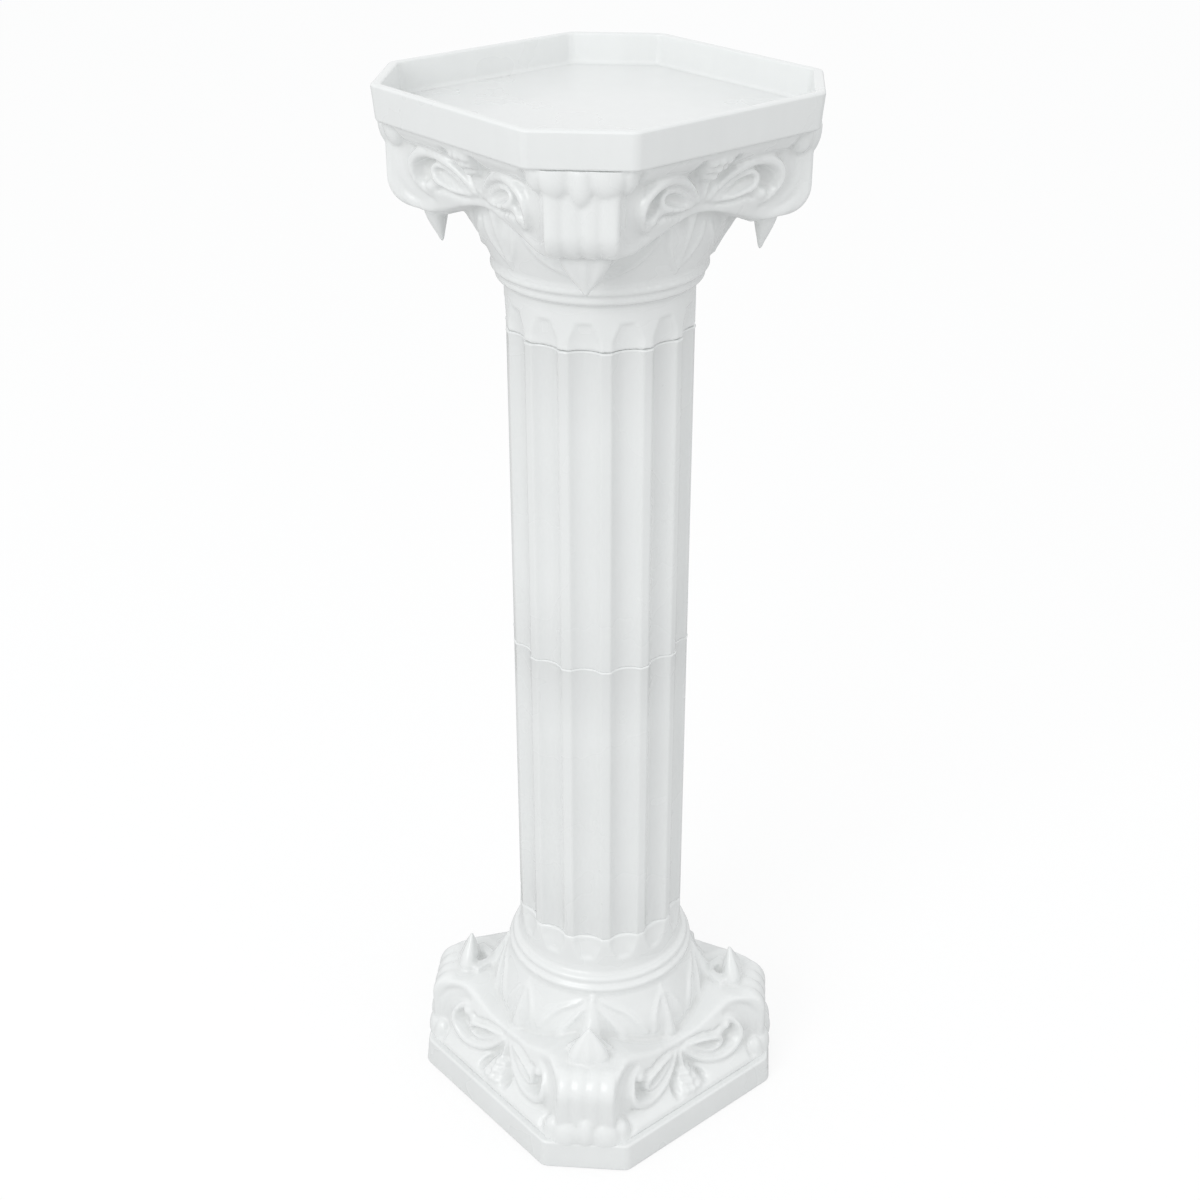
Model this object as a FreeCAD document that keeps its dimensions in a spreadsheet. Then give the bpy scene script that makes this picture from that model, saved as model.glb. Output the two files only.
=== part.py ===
"""Pedestal column stand: two fluted drums between two matching ornamental mouldings and two trays.

Everything stacks and lifts off.  Units are millimetres, +Z is up, and the origin is the centre of
the stand's underside.  The ornamental moulding is modelled once, neck at the bottom: the capital
stands that way up and the base is turned over.
"""
import FreeCAD, Part
import math
import os
import Sketcher

Vector = FreeCAD.Vector
X_AXIS = Vector(1, 0, 0)
Y_AXIS = Vector(0, 1, 0)
Z_AXIS = Vector(0, 0, 1)

SIZES = [
    # trays
    ("trayWidth", 250.4, "tray across two opposite sides, at its rim"),
    ("trayCorner", 47.4, "how far each corner is cut back along the side"),
    ("trayHeight", 24.0, "outer height"),
    ("trayDraft", 1.7, "how much each side leans outwards over the height"),
    ("trayWall", 3.5, "wall thickness"),
    ("trayFloor", 3.0, "floor thickness"),
    ("trayRound", 2.0, "rounding of the lower edge"),
    ("rimBevel", 1.0, "bevel along both edges of the rim"),
    ("rimHeight", 6.0, "locating rim under the floor"),
    ("rimWall", 3.0, "wall of the locating rim"),
    # fluted drums
    ("drumHeight", 242.0, "height of one drum"),
    ("shaftRadius", 65.2, "radius over the ridges between flutes"),
    ("fluteCount", 14, "flutes round the shaft"),
    ("fluteRadius", 15.0, "radius of a flute's hollow"),
    ("fluteDepth", 5.2, "depth of a flute below the ridges"),
    ("drumBore", 57.0, "bore radius of a drum"),
    ("fitGap", 0.3, "clearance between parts that slip into each other"),
    ("boreHalf", 49.4, "half width of the eight-sided bore through spigots and coupler"),
    ("spigotLength", 26.0, "length of the mouldings' spigots"),
    ("couplerLength", 58.0, "sleeve between the drums, half in each"),
    # ornamental moulding: heights are measured down from its wide end
    ("mouldingHeight", 140.5, "wide end to neck"),
    ("blockHeight", 57.5, "depth of the volute block"),
    ("cornerReach", 136.4, "centre to the ribbed corners"),
    ("cornerWidth", 47.2, "width over the ribs of one corner"),
    ("cornerRound", 20.0, "round at the foot of the ribbed corner"),
    ("cornerFoot", 57.5, "foot of that round, below the wide end"),
    ("underSlope", 3.5, "how far the underside rises from there to the bell"),
    ("archHalf", 52.0, "half width of the arch between the volutes' feet"),
    ("archRise", 10.5, "height of that arch"),
    ("faceMiddle", 98.5, "centre to the hollow middle of a face"),
    ("faceHollow", 46.0, "half width of that middle"),
    ("ribCount", 4, "ribs on a corner"),
    ("ribValley", 2.2, "depth of the valleys between the ribs"),
    ("valleyWidth", 4.4, "width of those valleys"),
    ("petalReach", 141.2, "centre to the petals over the ribs"),
    ("petalHeight", 16.5, "depth of the side petals"),
    ("petalDrop", 22.0, "depth of the middle petal"),
    ("petalWidth", 32.0, "half width over three petals"),
    ("fangTip", 87.5, "tip of the hanging leaf, below the wide end"),
    ("fangReach", 118.0, "centre to the outer side of its root"),
    ("fangDepth", 16.5, "root of the hanging leaf, front to back"),
    ("fangBulge", 44.0, "radius of its front, seen from the side"),
    ("tipReach", 107.0, "centre to its tip"),
    ("fangWidth", 32.0, "hanging leaf, side to side"),
    ("voluteCentre", 50.0, "volute centre, sideways from the face's middle"),
    ("voluteDrop", 30.0, "volute centre, below the wide end"),
    ("voluteRadius", 23.5, "radius over the volute's outer turn"),
    ("scrollReach", 112.0, "centre to the front of the raised scroll bands"),
    ("scrollWidth", 5.0, "width of those bands"),
    ("scrollRoot", 95.0, "centre to where the bands grow out of the block"),
    ("eyeRadius", 4.8, "round eye in which the scroll ends"),
    ("rosetteRadius", 12.0, "half width of the flower at the middle of each face"),
    ("rosetteDrop", 8.0, "top of that flower, below the wide end"),
    ("rosetteReach", 111.0, "centre to the front of the flower"),
    ("bellTop", 92.0, "bell radius where it meets the block"),
    ("bellFoot", 74.0, "bell radius above the rings"),
    ("leafRise", 3.0, "how far the bell's leaves stand out"),
    ("leafWidth", 26.0, "width of a leaf"),
    ("ringTop", 93.0, "top of the two neck rings, below the wide end"),
    ("ringPitch", 7.0, "height of one neck ring"),
    ("ringRise", 1.7, "how far a ring stands out"),
    ("neckTop", 113.5, "top of the plain neck, below the wide end"),
    ("fluteEnd", 19.0, "how far the flutes run into the neck"),
    ("cavityHalf", 93.0, "half width of the hollow inside the block"),
    ("cavityCorner", 26.0, "how far the hollow's corners are cut back"),
    ("cavityDepth", 42.0, "depth of that hollow"),
    ("bellHalf", 66.0, "half width of the hollow inside the bell"),
    ("bellDepth", 80.0, "depth of that hollow"),
]


class Size:
    """A number together with the expression that gives it."""

    def __init__(self, value, text):
        self.value = float(value)
        self.text = text

    def joined(self, other, sign, value):
        other = asSize(other)
        return Size(value, "(%s %s %s)" % (self.text, sign, other.text))

    def __add__(self, other):
        return self.joined(other, "+", self.value + asSize(other).value)

    def __sub__(self, other):
        return self.joined(other, "-", self.value - asSize(other).value)

    def __mul__(self, other):
        return self.joined(other, "*", self.value * asSize(other).value)

    def __truediv__(self, other):
        return self.joined(other, "/", self.value / asSize(other).value)

    def __neg__(self):
        return Size(-self.value, "(-1 * %s)" % self.text)

    def __radd__(self, other):
        return asSize(other) + self

    def __rsub__(self, other):
        return asSize(other) - self


def asSize(number):
    """Plain numbers become sizes too, so that the two mix freely."""
    if isinstance(number, Size):
        return number
    return Size(number, "%g" % number)


def makeSheet(document):
    """Driving dimensions: name in column A, value in B, meaning in C."""
    sheet = document.addObject("Spreadsheet::Sheet", "Sizes")
    for row, (name, value, meaning) in enumerate(SIZES, start=1):
        sheet.set("A%d" % row, name)
        sheet.set("B%d" % row, "%g" % value)
        sheet.setAlias("B%d" % row, name)
        sheet.set("C%d" % row, meaning)
    document.recompute()
    return sheet


doc = FreeCAD.newDocument("PedestalColumnStand")
sheet = makeSheet(doc)


def size(name):
    return Size(sheet.get(name), "Sizes." + name)


def bind(target, **sizes):
    """Tie properties of an object to the sheet."""
    for prop, value in sizes.items():
        target.setExpression(prop, asSize(value).text)


# ---- small helpers for bodies and sketches -------------------------------------------------

def newBody(label):
    body = doc.addObject("PartDesign::Body", label)
    body.Label = label
    return body


def origin(body, role):
    return [item for item in body.Origin.OriginFeatures if item.Role == role][0]


def newSketch(body, name, role, shift=(0, 0, 0), turn=None):
    """Sketch on one of the body's own planes, moved by sizes and turned about an axis."""
    sketch = body.newObject("Sketcher::SketchObject", name)
    sketch.AttachmentSupport = (origin(body, role), [""])
    sketch.MapMode = "FlatFace"
    rotation = FreeCAD.Rotation(*turn) if turn else FreeCAD.Rotation()
    moves = [asSize(value) for value in shift]
    sketch.AttachmentOffset = FreeCAD.Placement(Vector(*[move.value for move in moves]), rotation)
    for letter, move in zip("xyz", moves):
        sketch.setExpression("AttachmentOffset.Base." + letter, move.text)
    return sketch


def fix(sketch, geo, point, across, up):
    """Hold a point at named distances from the sketch's origin."""
    for kind, value, axis in (("DistanceX", asSize(across), -2), ("DistanceY", asSize(up), -1)):
        if value.text == "0":
            sketch.addConstraint(Sketcher.Constraint("PointOnObject", geo, point, axis))
            continue
        index = sketch.addConstraint(Sketcher.Constraint(kind, -1, 1, geo, point, value.value))
        sketch.setExpression("Constraints[%d]" % index, value.text)


def arcBetween(start, end, radius):
    """Minor arc from start to end; a positive radius puts its centre on the left."""
    half = (end - start) * 0.5
    height = math.sqrt(max(radius * radius - half.Length ** 2, 0.0))
    side = Vector(-half.y, half.x, 0).normalize() * math.copysign(height, radius)
    centre = start + half + side
    first = math.atan2(start.y - centre.y, start.x - centre.x)
    last = math.atan2(end.y - centre.y, end.x - centre.x)
    circle = Part.Circle(centre, Z_AXIS, abs(radius))
    if radius > 0:
        return Part.ArcOfCircle(circle, first, last), 1, 2
    return Part.ArcOfCircle(circle, last, first), 2, 1


def outline(sketch, corners):
    """Closed outline of corners (across, up) or (across, up, radius of the arc that leaves it)."""
    points = [Vector(asSize(item[0]).value, asSize(item[1]).value, 0) for item in corners]
    ends = []
    base = sketch.GeometryCount
    for i, item in enumerate(corners):
        start, end = points[i], points[(i + 1) % len(points)]
        if len(item) > 2:
            curve, first, last = arcBetween(start, end, asSize(item[2]).value)
        else:
            curve, first, last = Part.LineSegment(start, end), 1, 2
        sketch.addGeometry(curve)
        ends.append((first, last))
    for i, item in enumerate(corners):
        after = (i + 1) % len(corners)
        geo = base + i
        link = Sketcher.Constraint("Coincident", geo, ends[i][1], base + after, ends[after][0])
        sketch.addConstraint(link)
        fix(sketch, geo, ends[i][0], item[0], item[1])
        if len(item) > 2:
            radius = asSize(item[2])
            index = sketch.addConstraint(Sketcher.Constraint("Radius", geo, abs(radius.value)))
            sketch.setExpression("Constraints[%d]" % index, "abs(%s)" % radius.text)


def ringOutline(sketch, across, up, *radii):
    """Circles about one point."""
    for radius in radii:
        radius = asSize(radius)
        centre = Vector(asSize(across).value, asSize(up).value, 0)
        geo = sketch.addGeometry(Part.Circle(centre, Z_AXIS, radius.value))
        fix(sketch, geo, 3, across, up)
        index = sketch.addConstraint(Sketcher.Constraint("Radius", geo, radius.value))
        sketch.setExpression("Constraints[%d]" % index, radius.text)


def feature(body, kind, name, sketch, **sizes):
    item = body.newObject("PartDesign::" + kind, name)
    item.Profile = sketch
    for prop, value in sizes.items():
        if isinstance(value, Size):
            setattr(item, prop, value.value)
            item.setExpression(prop, value.text)
        else:
            setattr(item, prop, value)
    body.Tip = item
    return item


def pattern(body, name, features, count):
    """Repeat features evenly round the upright axis."""
    item = body.newObject("PartDesign::PolarPattern", name)
    item.Originals = features
    item.Axis = (origin(body, "Z_Axis"), [""])
    item.Angle = 360
    count = asSize(count)
    item.Occurrences = int(count.value)
    item.setExpression("Occurrences", count.text)
    body.Tip = item
    return item


def edgesWhere(shape, test):
    return ["Edge%d" % (i + 1) for i, edge in enumerate(shape.Edges) if test(edge)]


def dressEdges(body, kind, name, test, prop, value):
    """Fillet or chamfer the edges of the body so far that pass a test."""
    doc.recompute()
    base = body.Tip
    item = body.newObject("PartDesign::" + kind, name)
    item.Base = (base, edgesWhere(base.Shape, test))
    setattr(item, prop, value.value)
    item.setExpression(prop, value.text)
    body.Tip = item
    return item


def roundEdges(body, name, test, radius):
    return dressEdges(body, "Fillet", name, test, "Radius", radius)


def bevelEdges(body, name, test, width):
    return dressEdges(body, "Chamfer", name, test, "Size", width)


def isAt(edge, height):
    box = edge.BoundBox
    return abs(box.ZMin - height) < 0.01 and abs(box.ZMax - height) < 0.01


# ---- trays ---------------------------------------------------------------------------------

def octagon(half, corner):
    """Square outline with cut corners."""
    near = half - corner
    return [(half, -near), (half, near), (near, half), (-near, half),
            (-half, near), (-half, -near), (-near, -half), (near, -half)]


def lean(body, name, faces, angle, outer):
    """Slope upright faces outwards from the level where they start."""
    base = body.Tip
    item = body.newObject("PartDesign::Draft", name)
    item.Base = (base, faces)
    item.NeutralPlane = (origin(body, "XY_Plane"), [""])
    item.Angle = angle.value
    item.setExpression("Angle", angle.text)
    item.Reversed = outer
    body.Tip = item
    return item


def wallFaces(body, outer):
    """Upright faces that look away from the tray's centre, or towards it."""
    doc.recompute()
    found = []
    for number, face in enumerate(body.Tip.Shape.Faces, start=1):
        normal, centre = face.normalAt(0, 0), face.CenterOfMass
        looksOut = normal.x * centre.x + normal.y * centre.y > 0
        if abs(normal.z) < 0.01 and looksOut == outer:
            found.append("Face%d" % number)
    return found


def makeTray(label):
    """Shallow tray, floor down; a rim under the floor locates it in a moulding."""
    body = newBody(label)
    height, draft = size("trayHeight"), size("trayDraft")
    corner = size("trayCorner")
    angle = Size(math.degrees(math.atan2(draft.value, height.value)),
                 "atan(Sizes.trayDraft / Sizes.trayHeight)")

    footHalf = size("trayWidth") / 2 - draft
    foot = newSketch(body, "trayFoot", "XY_Plane")
    outline(foot, octagon(footHalf, corner))
    feature(body, "Pad", "trayBlock", foot, Length=height)
    lean(body, "trayLean", wallFaces(body, True), angle, True)
    wellHalf = footHalf - size("trayWall")
    wellCorner = corner - size("trayWall") * (2 - math.sqrt(2))
    well = newSketch(body, "trayWell", "XY_Plane", shift=(0, 0, height))
    outline(well, octagon(wellHalf, wellCorner))
    feature(body, "Pocket", "trayHollow", well, Length=height - size("trayFloor"))
    lean(body, "wellLean", wallFaces(body, False), angle, False)
    roundEdges(body, "trayLowerRound", lambda edge: isAt(edge, 0), size("trayRound"))
    bevelEdges(body, "trayRimBevel", lambda edge: isAt(edge, height.value), size("rimBevel"))

    outer = size("cavityHalf") - size("fitGap")
    inner = outer - size("rimWall")
    rim = newSketch(body, "locatingRim", "XY_Plane")
    outline(rim, octagon(outer, size("cavityCorner")))
    outline(rim, octagon(inner, size("cavityCorner") - size("rimWall") * (2 - math.sqrt(2))))
    feature(body, "Pad", "locatingRimPad", rim, Length=size("rimHeight"), Reversed=True)
    return body


# ---- fluted drums and their coupler --------------------------------------------------------

def cutFlutes(body, name, length):
    """One rounded flute in the +X side, repeated round the shaft."""
    middle = size("shaftRadius") - size("fluteDepth") + size("fluteRadius")
    flute = newSketch(body, name, "XY_Plane")
    ringOutline(flute, middle, 0, size("fluteRadius"))
    cut = feature(body, "Pocket", name + "Cut", flute, Length=length, Reversed=True)
    return pattern(body, name + "All", [cut], size("fluteCount"))


def makeDrum(label):
    body = newBody(label)
    height = size("drumHeight")
    disc = newSketch(body, "drumRound", "XY_Plane")
    ringOutline(disc, 0, 0, size("shaftRadius"))
    feature(body, "Pad", "drumBlock", disc, Length=height)
    cutFlutes(body, "flute", height)
    bore = newSketch(body, "bore", "XY_Plane")
    ringOutline(bore, 0, 0, size("drumBore"))
    feature(body, "Pocket", "boreCut", bore, Length=height, Reversed=True)
    return body


def makeCoupler(label):
    """Sleeve glued into the lower drum; its upper half slips into the upper drum."""
    body = newBody(label)
    sleeve = newSketch(body, "sleeve", "XY_Plane")
    ringOutline(sleeve, 0, 0, size("drumBore") - size("fitGap"))
    outline(sleeve, octagon(size("boreHalf"), size("boreHalf") * (2 - math.sqrt(2))))
    feature(body, "Pad", "sleevePad", sleeve, Length=size("couplerLength"), Midplane=True)
    return body


# ---- ornamental moulding -------------------------------------------------------------------

def down(distance):
    """Height above the neck seam of something measured down from the wide end."""
    return size("mouldingHeight") - distance


def makeBell(body):
    """Neck, two rings and the flaring bell, turned as one profile."""
    top, pitch = size("ringTop"), size("ringPitch")
    neck, foot = size("shaftRadius"), size("bellFoot")
    rise = size("ringRise")
    corners = [(0, 0), (neck, 0), (neck, down(size("neckTop")))]
    step = (foot - neck) / 2
    for number in (1, 0):
        crest = foot - step * number
        corners.append((crest, down(top + pitch * (number + 0.55))))
        corners.append((crest - size("ringRise"), down(top + pitch * number)))
    corners += [(size("bellTop"), down(size("blockHeight"))), (size("bellTop"), down(0)), (0, down(0))]
    profile = newSketch(body, "bellProfile", "XZ_Plane")
    outline(profile, corners)
    feature(body, "Revolution", "bell", profile, ReferenceAxis=(profile, ["V_Axis"]), Angle=360)


def makeBlock(body):
    """Square block with hollow faces and cut corners that carries the volutes."""
    reach, half = size("cornerReach"), size("cornerWidth") / 2
    root = math.sqrt(0.5)
    near, far = (reach - half) * root, (reach + half) * root
    middle, flat = size("faceMiddle"), size("faceHollow")
    side = [(far, -near), (middle, -flat), (middle, flat), (far, near)]
    plan = newSketch(body, "blockPlan", "XY_Plane", shift=(0, 0, down(size("blockHeight"))))
    corners = list(side)
    for turn in range(3):
        side = [(-up, across) for across, up in side]
        corners += side
    outline(plan, corners)
    feature(body, "Pad", "block", plan, Length=size("blockHeight"))


DIAGONAL = (Y_AXIS, 45)


def roundCorners(body):
    """Take the foot of each corner back in two steps, and slope the underside up to the bell."""
    reach, radius, foot = size("cornerReach"), size("cornerRound"), size("cornerFoot")
    inner, past, low = size("bellTop"), reach + 12, size("blockHeight") + 4
    sideways = newSketch(body, "cornerSide", "XZ_Plane", turn=DIAGONAL)
    outline(sideways, [
        (reach - radius, down(foot)), (reach - radius * 0.29, down(foot - radius * 0.29)),
        (reach, down(foot - radius)), (past, down(foot - radius)),
        (past, down(low)), (inner, down(low)), (inner, down(foot - size("underSlope"))),
    ])
    cut = feature(body, "Pocket", "cornerRoundCut", sideways, Length=size("cornerWidth") * 2, Midplane=True)
    return [cut]


def cutRibs(body):
    """Valleys that part the corner into ribs, down its front and on over the first step of its foot."""
    reach, radius = size("cornerReach"), size("cornerRound")
    count = int(size("ribCount").value)
    rib = size("cornerWidth") / size("ribCount")
    half, deep = size("valleyWidth") / 2, size("ribValley")
    start, level = down(size("petalHeight") * 0.5), down(size("cornerFoot") - radius)
    out = reach * math.sqrt(0.5)
    valleys = newSketch(body, "valleys", "XY_Plane", shift=(out, out, level), turn=(Z_AXIS, 45))
    for number in range(1, count):
        middle = rib * number - size("cornerWidth") / 2
        outline(valleys, [(-deep, middle), (deep, middle - half * 2), (deep, middle + half * 2)])
    upright = feature(body, "Pocket", "valleysCut", valleys, Length=start - level, Reversed=True)
    return [upright]


def diagonalSketch(body, name, out):
    """Sketch square to the +X+Y diagonal, a distance out from the stand's centre."""
    sketch = newSketch(body, name, "XZ_Plane", turn=(Y_AXIS, 135))
    out = asSize(out)
    rotation = FreeCAD.Rotation(Y_AXIS, 135)
    sketch.AttachmentOffset = FreeCAD.Placement(rotation.multVec(Vector(0, 0, out.value)), rotation)
    for letter, sign in (("x", 1), ("z", -1)):
        sketch.setExpression("AttachmentOffset.Base." + letter, (out * (math.sqrt(0.5) * sign)).text)
    return sketch


def addPetals(body):
    """Three drooping petals over each ribbed corner."""
    half, side, drop = size("petalWidth"), size("petalHeight"), size("petalDrop")
    cusp, tip = half * 0.33, half * 0.66
    thick = size("petalReach") - size("cornerReach") + 4
    petals = diagonalSketch(body, "petals", size("petalReach") - thick)
    outline(petals, [
        (half, down(0)), (-half, down(0)), (-half, down(side * 0.5)), (-tip, down(side)),
        (-cusp, down(side * 0.8)), (-cusp * 0.5, down(drop * 0.95)), (0, down(drop)),
        (cusp * 0.5, down(drop * 0.95)), (cusp, down(side * 0.8)), (tip, down(side)),
        (half, down(side * 0.5)),
    ])
    return [feature(body, "Pad", "petalPad", petals, Length=thick)]


def addFang(body):
    """Pointed leaf that hangs free under each ribbed corner, its front curved down to the tip."""
    outer, depth, half = size("fangReach"), size("fangDepth"), size("fangWidth") / 2
    tip, root, foot = size("fangTip"), size("cornerFoot") - 3, size("cornerFoot") + 0.5
    leaf = diagonalSketch(body, "fang", outer - depth)
    side = [(half * 0.84, root), (half, root + half / 2), (half * 0.84, root + half),
            (half * 0.42, tip - half * 0.62)]
    outline(leaf, [(across, down(drop)) for across, drop in side] + [(0, down(tip))]
            + [(-across, down(drop)) for across, drop in reversed(side)])
    pad = feature(body, "Pad", "fangPad", leaf, Length=depth)
    front = newSketch(body, "fangFront", "XZ_Plane", turn=DIAGONAL)
    outline(front, [(outer, down(foot), -size("fangBulge")), (size("tipReach"), down(tip)),
                    (size("tipReach"), down(tip + 3)), (outer + 3, down(tip + 3)), (outer + 3, down(foot))])
    cut = feature(body, "Pocket", "fangFrontCut", front, Length=size("fangWidth") + 2, Midplane=True)
    return [pad, cut]


def faceSketch(body, name, out):
    """Sketch seen from the front, level with a distance out from the stand's centre."""
    return newSketch(body, name, "XZ_Plane", shift=(0, 0, out))


def mirrored(corners):
    return [(-item[0],) + (item[1],) + tuple(-radius for radius in item[2:]) for item in corners]


def cutArch(body):
    """Clear the underside between the volutes' feet, up to the bell."""
    half, rise, foot = size("archHalf"), size("archRise"), size("blockHeight")
    front = size("scrollReach") + 3
    arch = faceSketch(body, "arch", front)
    outline(arch, [(half, down(foot)), (half * 0.68, down(foot - rise * 0.8)), (0, down(foot - rise)),
                   (-half * 0.68, down(foot - rise * 0.8)), (-half, down(foot)),
                   (-half, down(foot + 3)), (half, down(foot + 3))])
    return [feature(body, "Pocket", "archCut", arch, Length=front - size("bellTop") + 1)]


CRESCENT = [(-2.0, 0.26), (-1.6, -0.23), (-1.11, -0.57), (-0.57, -0.77), (-0.04, -0.66), (0.36, -0.3),
            (0.3, 0.34), (0.15, -0.19), (-0.15, -0.43), (-0.57, -0.55), (-1.06, -0.36), (-1.53, 0.0),
            (-1.91, 0.43)]
EYE = [(math.cos(turn * math.pi / 3), math.sin(turn * math.pi / 3)) for turn in range(6)]
FLOWER = [(0.0, -0.15), (0.55, -0.1), (1.0, 0.35), (0.6, 0.95), (0.25, 1.1), (0.0, 1.9), (-0.25, 1.1),
          (-0.6, 0.95), (-1.0, 0.35), (-0.55, -0.1)]


def shaped(points, across, drop, scale):
    """Outline of points given in units of a size, sideways and down from a place on the face."""
    return [(across + scale * right, down(drop + scale * low)) for right, low in points]


def addScrolls(body):
    """Volutes: an outer rim, a crescent that curls over from the middle, and the eye inside it."""
    across, drop, reach = size("voluteCentre"), size("voluteDrop"), size("voluteRadius")
    band, eye, root = size("scrollWidth"), size("eyeRadius"), size("scrollRoot")
    edge = (size("cornerReach") - size("cornerWidth") / 2) * math.sqrt(0.5) - 2
    foot, turn = size("cornerFoot") - 1.5, size("cornerRound")
    rim = [
        (edge, down(foot - turn)), (edge, down(8)), (edge - band, down(8)),
        (edge - band, down(foot - turn)), (edge - turn, down(foot - band)),
        (across * 0.6, down(foot - band * 2.4)), (across * 0.6, down(foot - band * 1.6)),
        (edge - turn, down(foot)), (edge - turn * 0.29, down(foot - turn * 0.29)),
    ]
    eyes = shaped(EYE, across - eye / 2, drop + reach * 0.42, eye)
    made = []
    deep = size("scrollReach") - root
    crescent = shaped(CRESCENT, across, drop, reach)
    for name, corners, length in (("voluteRims", rim, deep), ("crescents", crescent, deep),
                                  ("eyes", eyes, eye * 2)):
        bands = faceSketch(body, name, root)
        outline(bands, corners)
        outline(bands, mirrored(corners))
        made.append(feature(body, "Pad", name + "Pad", bands, Length=length))
    return made


def addRosette(body):
    """Flower of three petals at the top of the face's middle."""
    sunk = size("scrollRoot") - 6
    flower = faceSketch(body, "rosette", sunk)
    outline(flower, shaped(FLOWER, asSize(0), size("rosetteDrop"), size("rosetteRadius")))
    return [feature(body, "Pad", "rosettePad", flower, Length=size("rosetteReach") - sunk)]


def addLeaf(body):
    """Pointed leaf that lies on the slope of the bell under the middle of a face."""
    top, foot, rise = size("bellTop"), size("bellFoot"), size("leafRise")
    high, low = size("blockHeight"), size("ringTop")
    slope = math.degrees(math.atan2((top - foot).value, (low - high).value))
    length = (low - high) / math.cos(math.radians(slope))
    half, sink = size("leafWidth") / 2, 8
    leaf = newSketch(body, "leaf", "XZ_Plane")
    tilt = FreeCAD.Rotation(X_AXIS, slope)
    leaf.AttachmentOffset = FreeCAD.Placement(Vector(0, down(low).value, foot.value - sink), tilt)
    leaf.setExpression("AttachmentOffset.Base.y", down(low).text)
    leaf.setExpression("AttachmentOffset.Base.z", (foot - sink).text)
    outline(leaf, [(0, length * 0.2), (half, length * 0.7), (half * 0.8, length * 1.25),
                   (-half * 0.8, length * 1.25), (-half, length * 0.7)])
    return [feature(body, "Pad", "leafPad", leaf, Length=rise + sink)]


def hollowOut(body):
    """Open the block from its wide end, step the hollow down through the bell, and bore the neck."""
    corner = size("cavityCorner")
    for name, half, deep in (("cavity", size("cavityHalf"), size("cavityDepth")),
                             ("bellHollow", size("bellHalf"), size("bellDepth"))):
        square = newSketch(body, name, "XY_Plane", shift=(0, 0, down(0)))
        outline(square, octagon(half, corner))
        feature(body, "Pocket", name + "Cut", square, Length=deep)
    bore = newSketch(body, "neckBore", "XY_Plane")
    outline(bore, octagon(size("boreHalf"), size("boreHalf") * (2 - math.sqrt(2))))
    feature(body, "Pocket", "neckBoreCut", bore, Length=size("mouldingHeight"), Reversed=True)


def addSpigot(body):
    """Round spigot at the neck, which slips into a drum's socket."""
    spigot = newSketch(body, "spigot", "XY_Plane")
    ringOutline(spigot, 0, 0, size("drumBore") - size("fitGap"))
    outline(spigot, octagon(size("boreHalf"), size("boreHalf") * (2 - math.sqrt(2))))
    feature(body, "Pad", "spigotPad", spigot, Length=size("spigotLength"), Reversed=True)


def makeMoulding(label):
    body = newBody(label)
    makeBell(body)
    makeBlock(body)
    pattern(body, "corners", roundCorners(body) + cutRibs(body), 4)
    pattern(body, "hangingLeaves", addPetals(body) + addFang(body), 4)
    pattern(body, "faces", cutArch(body) + addLeaf(body) + addScrolls(body) + addRosette(body), 4)
    cutFlutes(body, "neckFlute", size("fluteEnd"))
    hollowOut(body)
    addSpigot(body)
    return body


def place(body, height, turned=False):
    """Stand a sub-part at a height; turned over, its wide end is down."""
    rotation = FreeCAD.Rotation(X_AXIS, 180) if turned else FreeCAD.Rotation()
    body.Placement = FreeCAD.Placement(Vector(0, 0, height.value), rotation)
    body.setExpression("Placement.Base.z", height.text)


def main():
    plinth, moulding, drum = size("trayHeight"), size("mouldingHeight"), size("drumHeight")
    place(makeTray("plinth_tray"), plinth, turned=True)
    place(makeMoulding("base"), plinth + moulding, turned=True)
    seam = plinth + moulding + drum
    place(makeDrum("lower_drum"), plinth + moulding)
    place(makeCoupler("drum_coupler"), seam)
    place(makeDrum("upper_drum"), seam)
    place(makeMoulding("capital"), seam + drum)
    place(makeTray("top_tray"), seam + drum + moulding)
    doc.recompute()
    export()


def export():
    """Check every object, then write each sub-part to its own file."""
    for item in doc.Objects:
        if "Invalid" in item.State or "Error" in item.State:
            raise RuntimeError("%s failed: %s" % (item.Name, item.State))
    os.makedirs("parts", exist_ok=True)
    for body in doc.Objects:
        if body.TypeId != "PartDesign::Body":
            continue
        shape = body.Shape
        if shape.isNull() or not shape.isValid() or len(shape.Solids) != 1:
            raise RuntimeError("%s has no single valid solid" % body.Label)
        shape.exportStep(os.path.join("parts", body.Label + ".step"))
        box = shape.BoundBox
        print("%-14s z %7.1f to %7.1f  width %6.1f  volume %8.1f cm3" % (
            body.Label, box.ZMin, box.ZMax, box.XLength, shape.Volume / 1000))


main()
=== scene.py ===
import math

import bmesh
import bpy
import numpy as np
from mathutils import Matrix, Vector


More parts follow.
